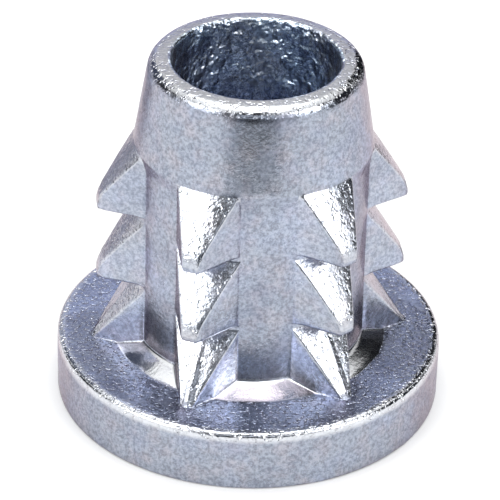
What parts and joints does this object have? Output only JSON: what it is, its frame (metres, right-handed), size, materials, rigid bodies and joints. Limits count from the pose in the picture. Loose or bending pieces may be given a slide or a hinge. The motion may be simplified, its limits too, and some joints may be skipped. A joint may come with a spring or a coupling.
{
  "type": "insert nut",
  "caption": "Flanged knock-in insert nut, die-cast zinc, with columns of saw-tooth barbs for wooden panels.",
  "frame": {"origin": "centre of the flange's underside", "axes": "+Z along the nut's axis, from the flange towards the nose; one barb column lies along +X"},
  "size_m": [0.0144, 0.0144, 0.0139],
  "materials": {
    "zinc": "satin, fine cast grain, clear blue passivation"
  },
  "bodies": {
    "root": {"insert_nut": "zinc"}
  },
  "joints": []
}
